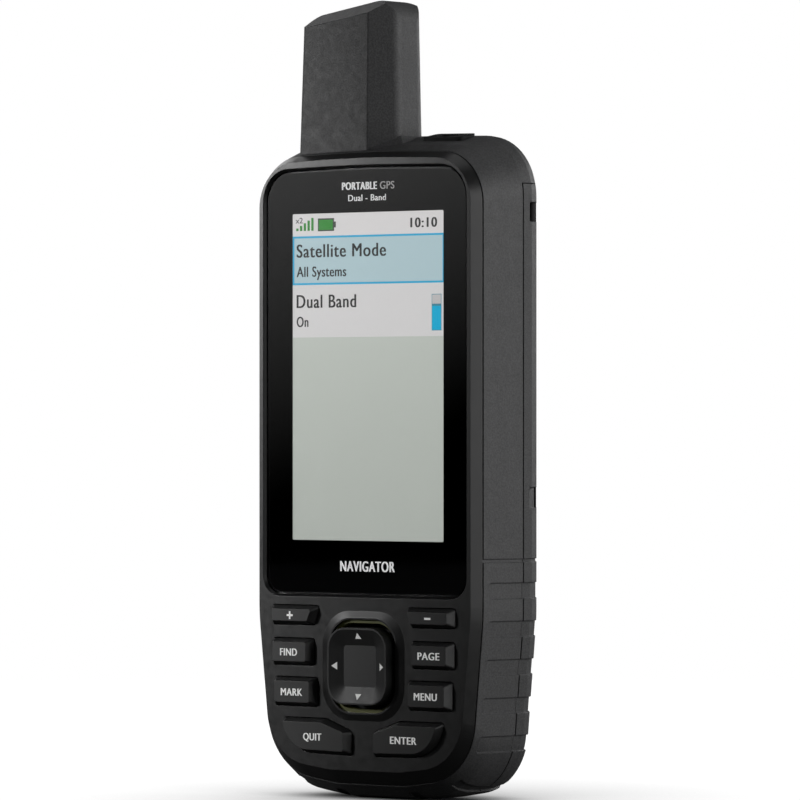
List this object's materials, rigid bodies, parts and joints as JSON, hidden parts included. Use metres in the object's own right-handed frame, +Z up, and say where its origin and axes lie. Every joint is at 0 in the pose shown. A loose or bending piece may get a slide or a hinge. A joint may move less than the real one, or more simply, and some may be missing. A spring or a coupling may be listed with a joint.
{
  "type": "handheld aviation gps navigator",
  "caption": "Upright handheld satellite navigator: tall colour display, button pad with a rocker, stub antenna tower, ribbed grip, and a battery door with spine rail and D-ring latch.",
  "frame": {"origin": "middle of the case's bounding box at the surface it stands on", "axes": "+Z up along the case to the antenna, display faces -Y, +X to the holder's right"},
  "size_m": [0.062, 0.0348, 0.1615],
  "materials": {
    "front_plastic": "fine satin moulded black",
    "case_plastic": "fine spark-textured dark grey",
    "grip_rubber": "matt moulded dark grey",
    "key_rubber": "matt black with printed legends",
    "rocker_rubber": "matt black, dished",
    "liner_olive": "satin olive",
    "lens_glass": "polished, hard coated",
    "lens_ink": "black print",
    "lcd_glass": "lit screen",
    "diffuser": "white diffuser",
    "tray_steel": "stamped",
    "flex_film": "amber film",
    "seal_rubber": "matt black",
    "board_fibre": "green solder mask",
    "dome_steel": "pressed",
    "can_steel": "tinned",
    "chip_resin": "moulded",
    "post_resin": "natural",
    "ball_steel": "polished",
    "former_resin": "natural ceramic-filled resin",
    "copper": "bare copper",
    "lead_jacket": "black jacket",
    "battery_wrap": "dark film wrap",
    "contact_gold": "gold plated",
    "screw_steel": "black oxide",
    "pin_steel": "satin",
    "ring_steel": "tumbled satin",
    "led_resin": "phosphor",
    "lamp_clear": "clear moulded",
    "card_resin": "moulded black",
    "bush_brass": "turned"
  },
  "bodies": {
    "case": {"front_housing": "front_plastic", "housing_gasket": "seal_rubber", "display_lens": "lens_glass", "lens_mask": "lens_ink", "lcd_panel": "lcd_glass", "backlight": "diffuser", "display_tray": "tray_steel", "display_flex": "flex_film", "keypad_mat": "seal_rubber", "dome_switches": "dome_steel", "rocker_post": "post_resin", "rocker_ring": "liner_olive", "mid_housing": "case_plastic", "power_switch": "chip_resin", "main_board": "board_fibre", "board_screws": "screw_steel", "shield_cans": "can_steel", "processor_chips": "chip_resin", "antenna_former": "former_resin", "antenna_elements": "copper", "antenna_board": "board_fibre", "antenna_lead": "lead_jacket", "buzzer": "chip_resin", "battery_pack": "battery_wrap", "battery_contacts": "contact_gold", "card_holder": "can_steel", "rear_housing": "case_plastic", "case_screws": "screw_steel", "lanyard_pins": "pin_steel", "port_board": "board_fibre", "port_receptacle": "can_steel", "port_lead": "flex_film", "lamp_led": "led_resin", "lamp_lens": "lamp_clear", "port_cap_pin": "pin_steel"},
    "door": {"battery_door": "grip_rubber", "door_seal": "seal_rubber", "spine_rail": "case_plastic", "spine_screws": "screw_steel", "latch_bushing": "bush_brass"},
    "latch": {"latch_stud": "pin_steel"},
    "ring": {"d_ring": "ring_steel"},
    "port_flap": {"port_cap": "grip_rubber"},
    "card": {"memory_card": "card_resin"},
    "power_button": {"power_key": "key_rubber"},
    "rocker_pivot": {"rocker_ball": "ball_steel"},
    "rocker": {"rocker_cap": "rocker_rubber"},
    "zoom_in_button": {"zoom_in_key": "key_rubber"},
    "zoom_out_button": {"zoom_out_key": "key_rubber"},
    "find_button": {"find_key": "key_rubber"},
    "page_button": {"page_key": "key_rubber"},
    "mark_button": {"mark_key": "key_rubber"},
    "menu_button": {"menu_key": "key_rubber"},
    "quit_button": {"quit_key": "key_rubber"},
    "enter_button": {"enter_key": "key_rubber"}
  },
  "joints": [
    {"name": "zoom_in_press", "type": "slide", "parent": "case", "child": "zoom_in_button", "axis": [0, 1, 0], "range_m": [0, 0.0007], "stiffness_N_per_m": 2500, "springref_m": -0.0002},
    {"name": "zoom_out_press", "type": "slide", "parent": "case", "child": "zoom_out_button", "axis": [0, 1, 0], "range_m": [0, 0.0007], "stiffness_N_per_m": 2500, "springref_m": -0.0002},
    {"name": "find_press", "type": "slide", "parent": "case", "child": "find_button", "axis": [0, 1, 0], "range_m": [0, 0.0007], "stiffness_N_per_m": 2500, "springref_m": -0.0002},
    {"name": "page_press", "type": "slide", "parent": "case", "child": "page_button", "axis": [0, 1, 0], "range_m": [0, 0.0007], "stiffness_N_per_m": 2500, "springref_m": -0.0002},
    {"name": "mark_press", "type": "slide", "parent": "case", "child": "mark_button", "axis": [0, 1, 0], "range_m": [0, 0.0007], "stiffness_N_per_m": 2500, "springref_m": -0.0002},
    {"name": "menu_press", "type": "slide", "parent": "case", "child": "menu_button", "axis": [0, 1, 0], "range_m": [0, 0.0007], "stiffness_N_per_m": 2500, "springref_m": -0.0002},
    {"name": "quit_press", "type": "slide", "parent": "case", "child": "quit_button", "axis": [0, 1, 0], "range_m": [0, 0.0007], "stiffness_N_per_m": 2500, "springref_m": -0.0002},
    {"name": "enter_press", "type": "slide", "parent": "case", "child": "enter_button", "axis": [0, 1, 0], "range_m": [0, 0.0007], "stiffness_N_per_m": 2500, "springref_m": -0.0002},
    {"name": "power_press", "type": "slide", "parent": "case", "child": "power_button", "axis": [0, 0, -1], "range_m": [0, 0.0006], "stiffness_N_per_m": 3000, "springref_m": -0.0002},
    {"name": "rocker_up_down", "type": "hinge", "parent": "case", "child": "rocker_pivot", "pos_m": [0, -0.01225, 0.027], "axis": [1, 0, 0], "range_deg": [-2.5, 2.5], "stiffness_Nm_per_rad": 0.35},
    {"name": "rocker_left_right", "type": "hinge", "parent": "rocker_pivot", "child": "rocker", "pos_m": [0, -0.01225, 0.027], "axis": [0, 0, 1], "range_deg": [-2.5, 2.5], "stiffness_Nm_per_rad": 0.35},
    {"name": "door_release", "type": "slide", "parent": "case", "child": "door", "axis": [0, 1, 0], "range_m": [0, 0.04]},
    {"name": "latch_turn", "type": "hinge", "parent": "door", "child": "latch", "pos_m": [0, 0.0135, 0.03], "axis": [0, 1, 0], "range_deg": [0, 90]},
    {"name": "ring_flip", "type": "hinge", "parent": "latch", "child": "ring", "pos_m": [0, 0.0158, 0.03], "axis": [1, 0, 0], "range_deg": [0, 90]},
    {"name": "port_flap_open", "type": "hinge", "parent": "case", "child": "port_flap", "pos_m": [0, 0.01265, 0.1162], "axis": [1, 0, 0], "range_deg": [0, 88]},
    {"name": "card_slide", "type": "slide", "parent": "case", "child": "card", "axis": [-1, 0, 0], "range_m": [0, 0.009]}
  ]
}
